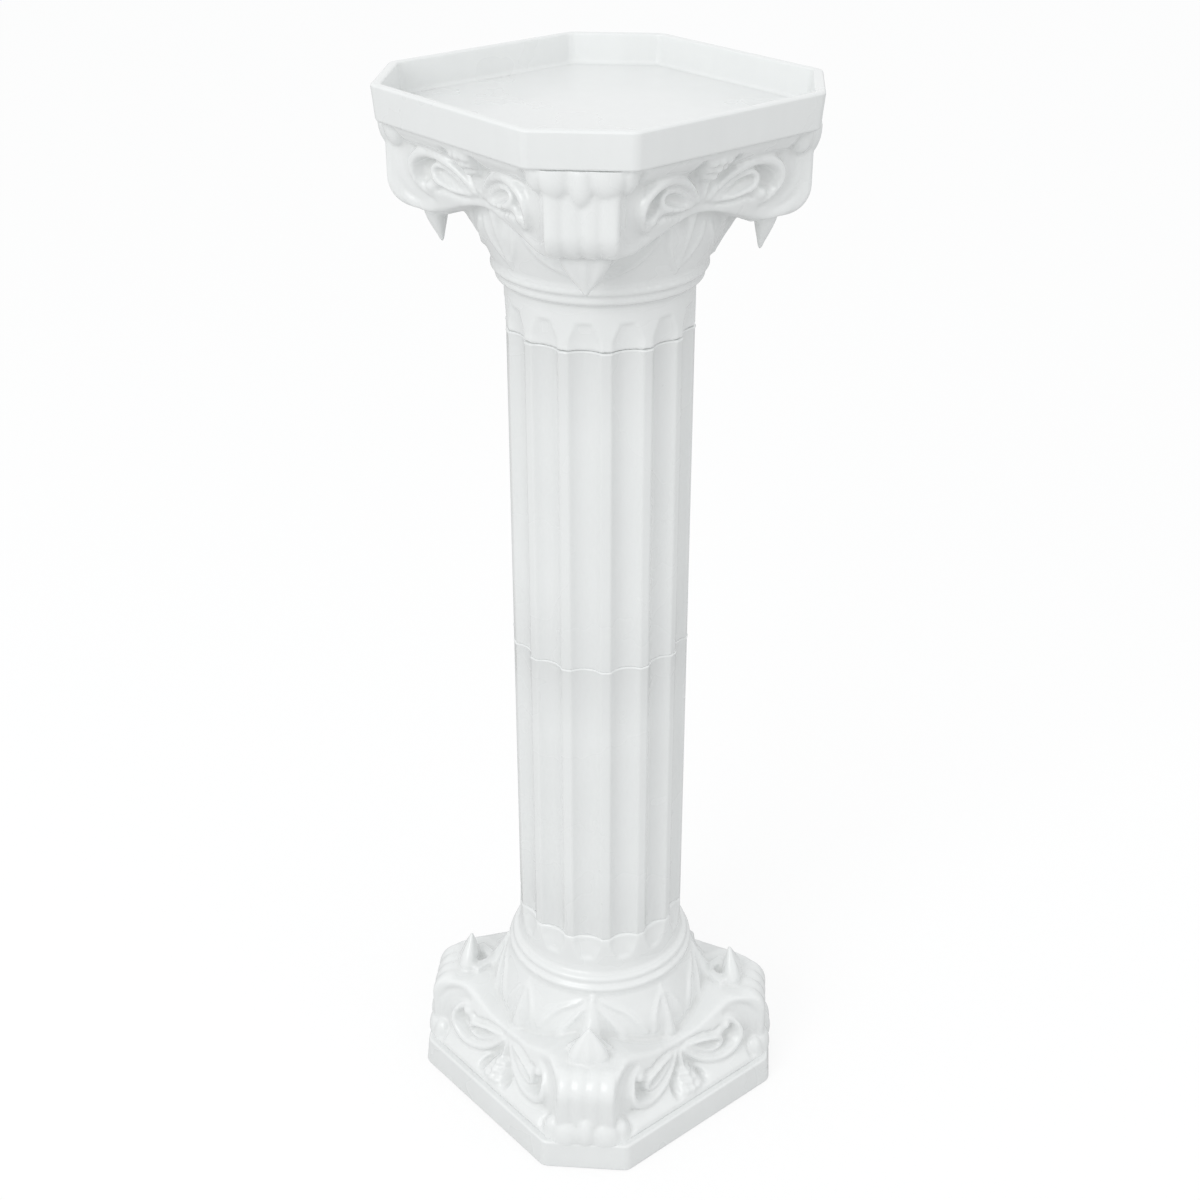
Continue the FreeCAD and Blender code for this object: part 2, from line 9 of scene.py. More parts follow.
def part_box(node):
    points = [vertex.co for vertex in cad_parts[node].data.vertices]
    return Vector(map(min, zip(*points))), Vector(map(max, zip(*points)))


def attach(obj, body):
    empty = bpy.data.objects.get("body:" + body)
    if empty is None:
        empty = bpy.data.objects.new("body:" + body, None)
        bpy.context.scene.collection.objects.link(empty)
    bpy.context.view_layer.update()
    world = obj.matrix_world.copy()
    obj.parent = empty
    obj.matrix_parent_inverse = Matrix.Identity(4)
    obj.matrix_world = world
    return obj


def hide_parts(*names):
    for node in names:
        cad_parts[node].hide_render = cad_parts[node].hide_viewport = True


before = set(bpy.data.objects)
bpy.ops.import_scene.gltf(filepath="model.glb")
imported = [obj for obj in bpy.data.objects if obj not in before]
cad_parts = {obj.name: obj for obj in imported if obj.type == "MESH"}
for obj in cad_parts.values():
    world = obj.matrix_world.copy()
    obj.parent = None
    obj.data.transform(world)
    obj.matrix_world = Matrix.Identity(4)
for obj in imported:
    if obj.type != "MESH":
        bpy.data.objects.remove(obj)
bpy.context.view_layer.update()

mm = 0.001
scene = bpy.context.scene


def level(node, end):
    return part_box(node)[end].z / mm


mouldingDepth = 140.5  # from the wide end of the capital or the base to its neck seam

# heights along the column in millimetres, taken from the frame
heights = {
    "plinthTop": level("lower_drum", 0) - mouldingDepth,
    "baseSeam": level("lower_drum", 0),
    "middleSeam": level("upper_drum", 0),
    "trayFoot": level("capital", 1),
}
print("frame loaded, seams at", [round(value, 1) for value in heights.values()])


def pieceFrom(bm, name, matrix=None):
    # puts a finished bmesh, worked in millimetres, into the scene in metres
    if matrix is not None:
        bmesh.ops.transform(bm, matrix=matrix, verts=bm.verts)
    bmesh.ops.scale(bm, vec=(mm, mm, mm), verts=bm.verts)
    mesh = bpy.data.meshes.new(name)
    bm.to_mesh(mesh)
    bm.free()
    mesh.shade_smooth()
    piece = bpy.data.objects.new(name, mesh)
    scene.collection.objects.link(piece)
    return piece


def bakeModifiers(piece):
    graph = bpy.context.evaluated_depsgraph_get()
    mesh = bpy.data.meshes.new_from_object(piece.evaluated_get(graph))
    piece.modifiers.clear()
    old = piece.data
    piece.data = mesh
    mesh.name = piece.name
    bpy.data.meshes.remove(old)


def addInto(target, source, matrix=None):
    # copies one bmesh into another, moved by a matrix
    mesh = bpy.data.meshes.new("part")
    source.to_mesh(mesh)
    if matrix is not None:
        mesh.transform(matrix)
    target.from_mesh(mesh)
    bpy.data.meshes.remove(mesh)


def placed(piece, body, node, finish):
    # rides on its body, stands for its node and takes its material
    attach(piece, body)
    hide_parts(node)
    piece.data.materials.clear()
    piece.data.materials.append(finish)


def threaded(points, steps):
    # smooth line through a few points; every column is carried along
    rows = [np.array(point, float) for point in points]
    rows = [rows[0]] + rows + [rows[-1]]
    out = []
    for before, start, end, after in zip(rows, rows[1:], rows[2:], rows[3:]):
        for t in np.linspace(0, 1, steps, endpoint=False):
            out.append(0.5 * (2 * start + (end - before) * t
                              + (2 * before - 5 * start + 4 * end - after) * t ** 2
                              + (3 * start - before - 3 * end + after) * t ** 3))
    out.append(rows[-1])
    return np.array(out)


def softStep(x):
    x = np.clip(x, 0, 1)
    return x * x * (3 - 2 * x)


def smoothMax(a, b, k):
    h = np.clip(0.5 + 0.5 * (a - b) / k, 0, 1)
    return b * (1 - h) + a * h + k * h * (1 - h)


strokeFall = 4  # how steeply a stroke ends beside its edge


class Relief:
    # height over a flat field of points, shaped stroke by stroke
    def __init__(self, across, down, height):
        self.across, self.down, self.height = across, down, height

    def nearest(self, line):
        best = np.full(self.across.shape, 1e9)
        values = np.zeros(self.across.shape + (line.shape[1],))
        for row in line:
            gap = np.hypot(self.across - row[0], self.down - row[1])
            closer = gap < best
            best[closer] = gap[closer]
            values[closer] = row
        return best, values

    def ridge(self, points, blend=1.2, steps=14, fullness=1.0):
        # points are (across, down, half width, level of the crest)
        gap, values = self.nearest(threaded(points, steps))
        share = np.clip(gap / np.maximum(values[..., 2], 0.01), 0, 1)
        crest = values[..., 3] - values[..., 2] * fullness * (1 - np.sqrt(1 - share ** 2))
        crest = crest - np.clip(gap - values[..., 2], 0, None) * strokeFall
        self.height = smoothMax(self.height, crest, blend)

    def groove(self, points, blend=1.2, steps=14, fullness=1.0):
        # points are (across, down, half width, level of the bottom)
        gap, values = self.nearest(threaded(points, steps))
        share = np.clip(gap / np.maximum(values[..., 2], 0.01), 0, 1)
        floor = values[..., 3] + values[..., 2] * fullness * (1 - np.sqrt(1 - share ** 2))
        floor = floor + np.clip(gap - values[..., 2], 0, None) * strokeFall
        self.height = -smoothMax(-self.height, -floor, blend)


def newGroup(name, inputs, outputs):
    group = bpy.data.node_groups.new(name, "ShaderNodeTree")
    for label, kind, value in inputs:
        socket = group.interface.new_socket(label, in_out="INPUT", socket_type=kind)
        socket.default_value = value
    for label, kind in outputs:
        group.interface.new_socket(label, in_out="OUTPUT", socket_type=kind)
    return group


def addNode(tree, kind, place, **values):
    node = tree.nodes.new(kind)
    node.location = place
    for key, value in values.items():
        setattr(node, key, value)
    return node


def noiseNode(tree, place, coords, scale, detail, rough=0.5):
    node = addNode(tree, "ShaderNodeTexNoise", place)
    tree.links.new(coords, node.inputs["Vector"])
    node.inputs["Scale"].default_value = scale
    node.inputs["Detail"].default_value = detail
    node.inputs["Roughness"].default_value = rough
    return node


def remapNode(tree, place, value, low, high, outLow, outHigh, held=False):
    node = addNode(tree, "ShaderNodeMapRange", place)
    tree.links.new(value, node.inputs["Value"])
    for key, number in (("From Min", low), ("From Max", high), ("To Min", outLow), ("To Max", outHigh)):
        node.inputs[key].default_value = number
    node.clamp = held
    return node.outputs["Result"]


def mathNode(tree, place, operation, first, second):
    node = addNode(tree, "ShaderNodeMath", place, operation=operation)
    for socket, value in zip(node.inputs, (first, second)):
        if isinstance(value, (int, float)):
            socket.default_value = value
        else:
            tree.links.new(value, socket)
    return node.outputs[0]


def makePlasticGroup():
    # shared surface of moulded plastic: cloudy tone, painted shade in hollows, painted highlight on crests,
    # waves and fine grain
    group = newGroup("mouldedSurface", [
        ("Colour", "NodeSocketColor", (0.8, 0.8, 0.8, 1)),
        ("Painted Shade Colour", "NodeSocketColor", (0.6, 0.58, 0.54, 1)),
        ("Painted Shade", "NodeSocketFloat", 0.3),
        ("Roughness", "NodeSocketFloat", 0.3),
        ("Wave Height", "NodeSocketFloat", 0.3),
        ("Grain Height", "NodeSocketFloat", 0.01),
    ], [("Colour", "NodeSocketColor"), ("Roughness", "NodeSocketFloat"), ("Normal", "NodeSocketVector")])
    source = addNode(group, "NodeGroupInput", (-1400, 0))
    result = addNode(group, "NodeGroupOutput", (900, 0))
    coords = addNode(group, "ShaderNodeTexCoord", (-1400, -300)).outputs["Object"]
    hollow = addNode(group, "ShaderNodeAttribute", (-1400, 320), attribute_name="hollow").outputs["Fac"]
    crest = addNode(group, "ShaderNodeAttribute", (-1400, 520), attribute_name="crest").outputs["Fac"]
    # cloudy tone of the moulding, and faint streaks where the melt flowed up the column
    cloud = noiseNode(group, (-1100, 0), coords, 14, 3)
    flow = addNode(group, "ShaderNodeMapping", (-1250, -160))
    flow.inputs["Scale"].default_value = (60, 60, 7)
    group.links.new(coords, flow.inputs["Vector"])
    streak = noiseNode(group, (-1100, -160), flow.outputs["Vector"], 1, 3, 0.6)
    fine = noiseNode(group, (-1100, -320), coords, 420, 2)
    wave = noiseNode(group, (-1100, -480), coords, 26, 1)
    specks = noiseNode(group, (-1100, -640), coords, 900, 1)
    # tone
    cloudTone = remapNode(group, (-950, 0), cloud.outputs["Fac"], 0.3, 0.7, -0.012, 0.012)
    streakTone = remapNode(group, (-950, -160), streak.outputs["Fac"], 0.3, 0.7, -0.009, 0.009)
    tone = mathNode(group, (-800, 0), "ADD", cloudTone, streakTone)
    toned = addNode(group, "ShaderNodeHueSaturation", (-600, 0))
    group.links.new(source.outputs["Colour"], toned.inputs["Color"])
    group.links.new(mathNode(group, (-700, 100), "ADD", tone, 1.0), toned.inputs["Value"])
    # painted shade: hollows are darkened towards the shade colour, broken up by noise
    deep = remapNode(group, (-850, 300), hollow, 0.15, 1.0, 0, 1, True)
    broken = remapNode(group, (-850, 200), fine.outputs["Fac"], 0.3, 0.7, 0.75, 1.0)
    paintedShadeMask = mathNode(group, (-700, 300), "MULTIPLY", deep, broken)
    paintedShadeShare = mathNode(group, (-550, 300), "MULTIPLY", paintedShadeMask, source.outputs["Painted Shade"])
    shadedColour = addNode(group, "ShaderNodeMix", (-350, 100), data_type="RGBA")
    group.links.new(paintedShadeShare, shadedColour.inputs["Factor"])
    group.links.new(toned.outputs["Color"], shadedColour.inputs["A"])
    group.links.new(source.outputs["Painted Shade Colour"], shadedColour.inputs["B"])
    # painted highlight: crests are painted a little lighter
    crestHighlight = addNode(group, "ShaderNodeHueSaturation", (-100, 100))
    group.links.new(shadedColour.outputs["Result"], crestHighlight.inputs["Color"])
    group.links.new(remapNode(group, (-350, 400), crest, 0.1, 0.9, 1.0, 1.04, True), crestHighlight.inputs["Value"])
    group.links.new(crestHighlight.outputs["Color"], result.inputs["Colour"])
    # gloss is broken by handling marks, duller in hollows
    marks = remapNode(group, (-600, -300), cloud.outputs["Fac"], 0.35, 0.75, -0.05, 0.08)
    gloss = mathNode(group, (-400, -300), "ADD", source.outputs["Roughness"], marks)
    duller = mathNode(group, (-400, -420), "MULTIPLY", hollow, 0.15)
    group.links.new(mathNode(group, (-200, -300), "ADD", gloss, duller), result.inputs["Roughness"])
    # waves of the cooled wall, then fine grain
    waves = addNode(group, "ShaderNodeBump", (-300, -600))
    waves.inputs["Strength"].default_value = 1
    waveHeight = mathNode(group, (-500, -600), "MULTIPLY", source.outputs["Wave Height"], mm)
    group.links.new(waveHeight, waves.inputs["Distance"])
    group.links.new(wave.outputs["Fac"], waves.inputs["Height"])
    grain = addNode(group, "ShaderNodeBump", (-100, -600))
    grain.inputs["Strength"].default_value = 1
    grainHeight = mathNode(group, (-500, -760), "MULTIPLY", source.outputs["Grain Height"], mm)
    group.links.new(grainHeight, grain.inputs["Distance"])
    halfSpecks = mathNode(group, (-500, -900), "MULTIPLY", specks.outputs["Fac"], 0.5)
    grains = mathNode(group, (-300, -760), "ADD", fine.outputs["Fac"], halfSpecks)
    group.links.new(grains, grain.inputs["Height"])
    group.links.new(waves.outputs["Normal"], grain.inputs["Normal"])
    group.links.new(grain.outputs["Normal"], result.inputs["Normal"])
    return group


surfaceGroup = makePlasticGroup()


def makePlastic(name, look):
    material = bpy.data.materials.new(name)
    material.use_nodes = True
    tree = material.node_tree
    shader = tree.nodes["Principled BSDF"]
    surface = addNode(tree, "ShaderNodeGroup", (-400, 0))
    surface.node_tree = surfaceGroup
    for key in ("Colour", "Painted Shade Colour", "Painted Shade", "Roughness", "Wave Height", "Grain Height"):
        surface.inputs[key].default_value = look[key]
    tree.links.new(surface.outputs["Colour"], shader.inputs["Base Color"])
    tree.links.new(surface.outputs["Roughness"], shader.inputs["Roughness"])
    tree.links.new(surface.outputs["Normal"], shader.inputs["Normal"])
    shader.inputs["IOR"].default_value = look["ior"]
    shader.inputs["Coat Weight"].default_value = look["coat"]
    shader.inputs["Coat Roughness"].default_value = look["coatRoughness"]
    return material


ornamentLook = {
    "Colour": (0.815, 0.828, 0.824, 1),
    # the next two entries set the painted shade in the hollows: its colour and how much of it
    "Painted Shade Colour": (0.5, 0.5, 0.48, 1),
    "Painted Shade": 0.26,
    "Roughness": 0.27,
    "Wave Height": 0.5,
    "Grain Height": 0.012,
    "ior": 1.49,
    "coat": 0.3,
    "coatRoughness": 0.12,
}
shaftLook = dict(ornamentLook, **{"Painted Shade": 0.16, "Wave Height": 0.35})
trayLook = dict(ornamentLook, **{"Painted Shade": 0.16, "Wave Height": 0.45, "Roughness": 0.3})
sleeveLook = dict(ornamentLook, **{
    "Colour": (0.74, 0.75, 0.745, 1),
    "Roughness": 0.5,
    "coat": 0.0,
})

ornamentWhite = makePlastic("ornamentWhite", ornamentLook)
shaftWhite = makePlastic("shaftWhite", shaftLook)
trayWhite = makePlastic("trayWhite", trayLook)
sleevePlain = makePlastic("sleevePlain", sleeveLook)
print("finishes made")


def markSurface(piece, rounds, reach):
    # keeps how far each point lies below or above its smoothed surroundings, for painted shade in hollows
    # and painted highlight on crests
    mesh = piece.data
    count = len(mesh.vertices)
    place, normal = np.empty(count * 3), np.empty(count * 3)
    mesh.vertices.foreach_get("co", place)
    mesh.vertices.foreach_get("normal", normal)
    place, normal = place.reshape(-1, 3) / mm, normal.reshape(-1, 3)
    ends = np.empty(len(mesh.edges) * 2, int)
    mesh.edges.foreach_get("vertices", ends)
    first, second = ends.reshape(-1, 2).T
    degree = np.maximum(np.bincount(ends, minlength=count), 1)
    soft = place.copy()
    for turn in range(rounds):
        total = np.empty_like(soft)
        for axis in range(3):
            total[:, axis] = (np.bincount(first, soft[second, axis], count)
                              + np.bincount(second, soft[first, axis], count))
        soft = total / degree[:, None]
    rise = ((soft - place) * normal).sum(axis=1) / reach
    for name, values in (("hollow", rise), ("crest", -rise)):
        layer = mesh.attributes.new(name, "FLOAT", "POINT")
        layer.data.foreach_set("value", np.clip(values, 0, 1))


# tray: shallow and corner-cut, with a ring below that sits in the moulding; stations are (inset, height)
tray = {
    "half": 125.13,
    "corner": 47.4,
    "cornerRound": 3.6,
    "stations": [(3.7, 0), (2.7, 0.27), (1.97, 1.0), (1.7, 2.0), (0.95, 12), (0.05, 22.2), (0.3, 23.1),
                 (0.95, 23.76), (1.8, 24), (4.6, 24), (5.3, 23.8), (5.8, 23.3), (6.0, 22.6), (6.6, 14),
                 (7.2, 6), (7.5, 4.6), (8.4, 3.5), (9.8, 3.0)],
    "ringHalf": 92.7,
    "ringCorner": 26.0,
    "ringWall": 3.0,
    "ringHeight": 6.0,
    "ringSink": 0.5,
    "ringRound": 0.5,
}


def octagonPoints(half, corner):
    near = half - corner
    return [(half, -near), (half, near), (near, half), (-near, half),
            (-half, near), (-half, -near), (-near, -half), (near, -half)]


def octagonFace(bm, half, corner, z):
    return bm.faces.new([bm.verts.new((x, y, z)) for x, y in octagonPoints(half, corner)])


def raiseFace(bm, face, height):
    # pulls a face along Z
    made = bmesh.ops.extrude_face_region(bm, geom=[face])
    bmesh.ops.delete(bm, geom=[face], context="FACES_ONLY")
    top = [item for item in made["geom"] if isinstance(item, bmesh.types.BMFace)][0]
    bmesh.ops.translate(bm, vec=(0, 0, height), verts=top.verts)
    return top


def insetFace(bm, face, width):
    bmesh.ops.inset_region(bm, faces=[face], thickness=width, use_even_offset=True)
    return face


def grownLoop(bm, edges):
    # carries a loop of edges on and gives its new points and edges
    grown = bmesh.ops.extrude_edge_only(bm, edges=edges)["geom"]
    verts = [item for item in grown if isinstance(item, bmesh.types.BMVert)]
    fresh = set(verts)
    return verts, [item for item in grown if isinstance(item, bmesh.types.BMEdge)
                   and all(vert in fresh for vert in item.verts)]


def makeTray():
    # the rounded outline is carried up the outside, over the rim and down to the floor
    t = tray
    bm = bmesh.new()
    octagonFace(bm, t["half"], t["corner"], 0)
    bmesh.ops.bevel(bm, geom=bm.verts[:], offset=t["cornerRound"], offset_type="OFFSET", affect="VERTICES",
                    segments=4, profile=0.5, material=-1)
    verts, current, before = bm.verts[:], bm.edges[:], 1.0
    for count, (inset, z) in enumerate(t["stations"]):
        if count:
            verts, current = grownLoop(bm, current)
        scale = 1 - inset / t["half"]
        for vert in verts:
            vert.co = Vector((vert.co.x * scale / before, vert.co.y * scale / before, z))
        before = scale
    bmesh.ops.holes_fill(bm, edges=current, sides=0)
    bmesh.ops.recalc_face_normals(bm, faces=bm.faces)
    ring = bmesh.new()
    seat = octagonFace(ring, t["ringHalf"], t["ringCorner"], t["ringSink"])
    hole = insetFace(ring, seat, t["ringWall"])
    bmesh.ops.delete(ring, geom=[hole], context="FACES_ONLY")
    wall = bmesh.ops.extrude_face_region(ring, geom=ring.faces[:])
    lowered = [item for item in wall["geom"] if isinstance(item, bmesh.types.BMVert)]
    bmesh.ops.translate(ring, vec=(0, 0, -t["ringHeight"] - t["ringSink"]), verts=lowered)
    bmesh.ops.recalc_face_normals(ring, faces=ring.faces)
    bmesh.ops.bevel(ring, geom=ring.edges[:], offset=t["ringRound"], offset_type="OFFSET", affect="EDGES",
                    segments=2, profile=0.5, material=-1)
    addInto(bm, ring)
    ring.free()
    return bm


turnedOver = Matrix.Rotation(math.pi, 4, "X")
for name, node, seat in (
        ("topTray", "top_tray", Matrix.Translation((0, 0, heights["trayFoot"]))),
        ("plinthTray", "plinth_tray", Matrix.Translation((0, 0, heights["plinthTop"])) @ turnedOver)):
    piece = pieceFrom(makeTray(), name, seat)
    evener = piece.modifiers.new("even", "WEIGHTED_NORMAL")
    evener.keep_sharp = True
    bakeModifiers(piece)
    placed(piece, node, node, trayWhite)
print("trays made")


# fluted drum: foot and lip are (change of radius, height from that end)
drum = {
    "height": 242.0,
    "radius": 65.2,
    "bore": 57.0,
    "fluteCount": 14,
    "fluteRadius": 15.4,
    "fluteDepth": 5.6,
    "ridgeBlend": 0.8,
    "turn": 2.0,
    "pointsPerFlute": 28,
    "boreRound": 0.8,
    "sharpAngle": 50,
    "foot": [(-0.7, 0), (-0.2, 0.2), (0, 0.7)],
    "lip": [(0, -2.4), (0.45, -1.7), (0.6, -1.1), (0.5, -0.5), (0.1, -0.15), (-0.7, 0)],
}


def shaftRadius(angle, narrow=1.0):
    # outline of the fluted shaft, flutes hollow and ridges softly rounded; narrow squeezes the flutes
    d = drum
    pitch = 2 * math.pi / d["fluteCount"]
    turn = np.clip(((angle + pitch / 2) % pitch - pitch / 2) / narrow, -pitch / 2, pitch / 2)
    centre = d["radius"] - d["fluteDepth"] + d["fluteRadius"]
    side = centre * np.sin(turn)
    inside = np.clip(d["fluteRadius"] ** 2 - side ** 2, 0, None)
    hollow = centre * np.cos(turn) - np.sqrt(inside)
    hollow = np.where(inside > 0, hollow, d["radius"] + 9)  # between two flutes the ridge decides
    return -smoothMax(-hollow, np.full_like(hollow, -d["radius"]), d["ridgeBlend"])


def makeDrum():
    d = drum
    height, bore, easing = d["height"], d["bore"], d["boreRound"]
    offset = math.radians(d["turn"])
    bm = bmesh.new()
    count = d["fluteCount"] * d["pointsPerFlute"]
    verts = bmesh.ops.create_circle(bm, segments=count, radius=d["radius"])["verts"]
    first = current = bm.edges[:]
    # up the outside, which follows the flutes, and down the round bore
    outer = d["foot"] + [(0, height * share) for share in (0.25, 0.5, 0.75)]
    outer += [(change, height + z) for change, z in d["lip"]]
    inner = [(bore + easing, height), (bore, height - easing), (bore, easing), (bore + easing, 0)]
    for stage, (size, z) in enumerate(outer + inner):
        if stage:
            verts, current = grownLoop(bm, current)
        turns = np.array([math.atan2(vert.co.y, vert.co.x) for vert in verts])
        radii = shaftRadius(turns - offset) + size if stage < len(outer) else np.full(len(verts), size)
        for vert, angle, radius in zip(verts, turns, radii):
            vert.co = Vector((radius * math.cos(angle), radius * math.sin(angle), z))
    bmesh.ops.bridge_loops(bm, edges=first + current)
    bmesh.ops.recalc_face_normals(bm, faces=bm.faces)
    return bm


for name, node, foot in (("lowerDrum", "lower_drum", heights["baseSeam"]),
                         ("upperDrum", "upper_drum", heights["middleSeam"])):
    piece = pieceFrom(makeDrum(), name, Matrix.Translation((0, 0, foot)))
    piece.data.set_sharp_from_angle(angle=math.radians(drum["sharpAngle"]))
    placed(piece, node, node, shaftWhite)
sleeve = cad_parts["drum_coupler"]
sleeve.data.materials.clear()
sleeve.data.materials.append(sleevePlain)
print("drums made")


# ornamental moulding: wide end at depth 0, neck seam at full depth; built with +Z running down its depth
moulding = {
    "fullDepth": mouldingDepth,
    "spigot": 26.0,
    "spigotRadius": 56.7,
    "voxel": 1.45,
    "smoothing": 2,
    "cornerReach": 137.2,
    "cornerHalf": 22.6,
    "cornerRound": 19.5,
    "cornerFoot": 58.0,
    "ribs": 4,
    "ribRise": 2.4,
    "footFall": 6,
    "edgeFall": 8,
    "seamRound": 0.8,
    "seamInset": 0.6,
    "fluteStart": 120.5,
    "fluteRunIn": 4.5,
    "endWidth": 0.6,
    "widening": 14,
    "endDepth": 0.34,
    "deepening": 18,
    "sharpAngle": 62,
    "hollowRounds": 24,
    "hollowReach": 2.6,
    "core": (150, 150, 54),
    "coreMiddle": 25,
    "cavity": [(93, 26, 42), (66, 26, 80), (49.4, 28.9, 180)],
}


def cornerProfile(depth):
    # how far the ribbed corner reaches out, by depth below the wide end
    m = moulding
    turnTop = m["cornerFoot"] - m["cornerRound"]
    inner = m["cornerReach"] - m["cornerRound"]
    drop = np.clip(depth - turnTop, 0, m["cornerRound"])
    reach = inner + np.sqrt(np.clip(m["cornerRound"] ** 2 - drop ** 2, 0, None))
    return reach - np.clip(depth - m["cornerFoot"], 0, None) * m["footFall"]


def faceRelief(across, depth):
    a = np.abs(across)
    # ground between the strokes: shallow by the middle, rising to the corners, rolled back low down
    floor = np.interp(a, [0, 10, 17, 30, 45, 62, 80], [99, 100, 101.6, 104, 106, 107.6, 110.5])
    floor = floor - 0.011 * np.clip(depth - 26, 0, None) ** 2
    # flange along the wide end, almost as wide as the tray
    floor = smoothMax(floor, 118.6 - 0.065 * depth ** 2, 2)
    r = Relief(a, depth, floor)
    edge = np.interp(a, [0, 12, 24, 36, 48, 58, 70, 80], [44.5, 45.5, 48.5, 53, 58, 60, 59.5, 58])
    # hollow under the crescent, deepest beside its curl
    r.groove([(21, 30, 3, 101), (29, 26.5, 5, 100.6), (37, 24.5, 6.5, 100.4), (45, 26, 8, 99.8),
              (49, 32.5, 6.5, 100), (47.5, 38, 3.5, 101.5)], blend=2.5, fullness=0.7)
    # rim beside the ribs, rolling back under with them
    r.ridge([(80.6, -1, 2.8, 112.4), (80.8, 14, 2.8, 112.4), (80.8, 30, 2.8, 112), (79.4, 40, 3.2, 110.8),
             (75.2, 49, 4.2, 108.2), (67.6, 54, 4.6, 104.6), (57.5, 55.4, 4.2, 100.4), (48, 53, 3.8, 98.6),
             (36, 48.6, 3.4, 97.4), (24, 44.6, 3, 95.8), (12, 42.4, 2.6, 94.4), (1, 42, 2.4, 93.6)], blend=3)
    # shallow band between rim and crescent
    r.groove([(67.5, 8, 4, 108.6), (68, 18, 5, 107.6), (67.5, 30, 5, 106.8), (64.5, 39, 5, 104.8),
              (58, 46, 4.4, 101.6), (49, 48.4, 3, 99.4)], blend=3, fullness=0.5)
    # crescent: from the middle, over the top and down into a tail
    r.ridge([(4, 35.6, 1.2, 100.6), (8, 30.6, 1.8, 102.6), (13.5, 24.8, 2.4, 105.2), (23, 18.4, 3, 108.8),
             (36, 14.6, 3.4, 111.4), (48, 16.4, 3.6, 112.6), (56.4, 22.6, 3.4, 112.4),
             (58.6, 30.4, 2.6, 111.2), (56.4, 37.6, 1.4, 108.4)], blend=1.3)
    # outlined leaf by the middle: a raised oval with a thin rim around a small hollow
    r.ridge([(8.5, 37.6, 1.4, 100.4), (19, 36.8, 2.2, 103.4), (30, 35.2, 2.6, 105.8), (38, 31.6, 2.4, 107),
             (40.6, 26.8, 2, 107), (36.6, 22.8, 1.8, 106.8), (27.4, 23.6, 1.8, 105.6),
             (17.6, 28.8, 1.7, 103.4), (9.6, 36, 1.3, 100.6)], blend=0.8)
    r.groove([(19, 33.6, 1.6, 100.2), (27, 30, 3, 100.6), (34, 28, 2.4, 101.8)], blend=1, fullness=0.6)
    # eye in which the crescent ends, on a small stalk
    r.ridge([(46.4, 38.4, 4.2, 106), (46.8, 38.8, 4.2, 106)], blend=0.8, steps=2)
    r.ridge([(56.4, 37.6, 1.4, 108), (53.4, 42, 1.9, 105.4), (48.6, 44.6, 1.9, 103)], blend=1)
    # step below the leaf and the eye
    r.groove([(2, 38.6, 1.2, 95.6), (12, 40.4, 1.3, 96.2), (24, 40.4, 1.4, 97.4), (34, 38.6, 1.4, 99),
              (40, 40.4, 1.2, 99.6)], blend=0.8)
    # shell at the top of the middle, with a drooping bud under it
    for place in ((0, 7.4, 3.6, 118.2), (5.6, 8, 2.8, 117.6), (10.4, 9, 2.2, 116), (0, 13, 3.4, 114.6),
                  (6, 13.4, 2.4, 112.6), (0, 18.6, 2.8, 110.4), (4.4, 18.6, 1.8, 107.6)):
        r.ridge([place, place], blend=0.6, steps=2)
    r.ridge([(0, 21, 2, 105), (0, 27, 1.8, 103), (0, 33, 1.2, 101)], blend=1)
    # gap between the shell and the volutes
    r.groove([(15, 10, 1.8, 102.4), (11.4, 17, 1.8, 101), (7, 24, 1.6, 99.6)], blend=1.2)
    # cut off by the corner's front, and falling away steeply below the lower edge
    height = np.minimum(r.height, math.sqrt(2) * cornerProfile(depth) - a)
    return height - np.clip(depth - edge, 0, None) * moulding["edgeFall"]


def makeFace():
    # one carved face as a slab; -Y is its front
    halfAcross, tall, start = 84, 65, -0.5
    sideEnd, least, backPlane = 83.2, 66, 58
    bm = bmesh.new()
    bmesh.ops.create_grid(bm, x_segments=2 * halfAcross, y_segments=tall, size=1)
    bmesh.ops.scale(bm, vec=(halfAcross, tall / 2, 1), verts=bm.verts)
    points = np.array([vert.co for vert in bm.verts])
    across, depth = points[:, 0], points[:, 1] + tall / 2 + start
    out = np.maximum(faceRelief(across, np.clip(depth, 0, None)), least)
    out[np.abs(across) > sideEnd] = least
    for vert, u, w, f in zip(bm.verts, across, depth, out):
        vert.co = Vector((u, -f, w))
    back = bmesh.ops.extrude_face_region(bm, geom=bm.faces[:])
    for item in back["geom"]:
        if isinstance(item, bmesh.types.BMVert):
            item.co.y = -backPlane
    bmesh.ops.recalc_face_normals(bm, faces=bm.faces)
    return bm


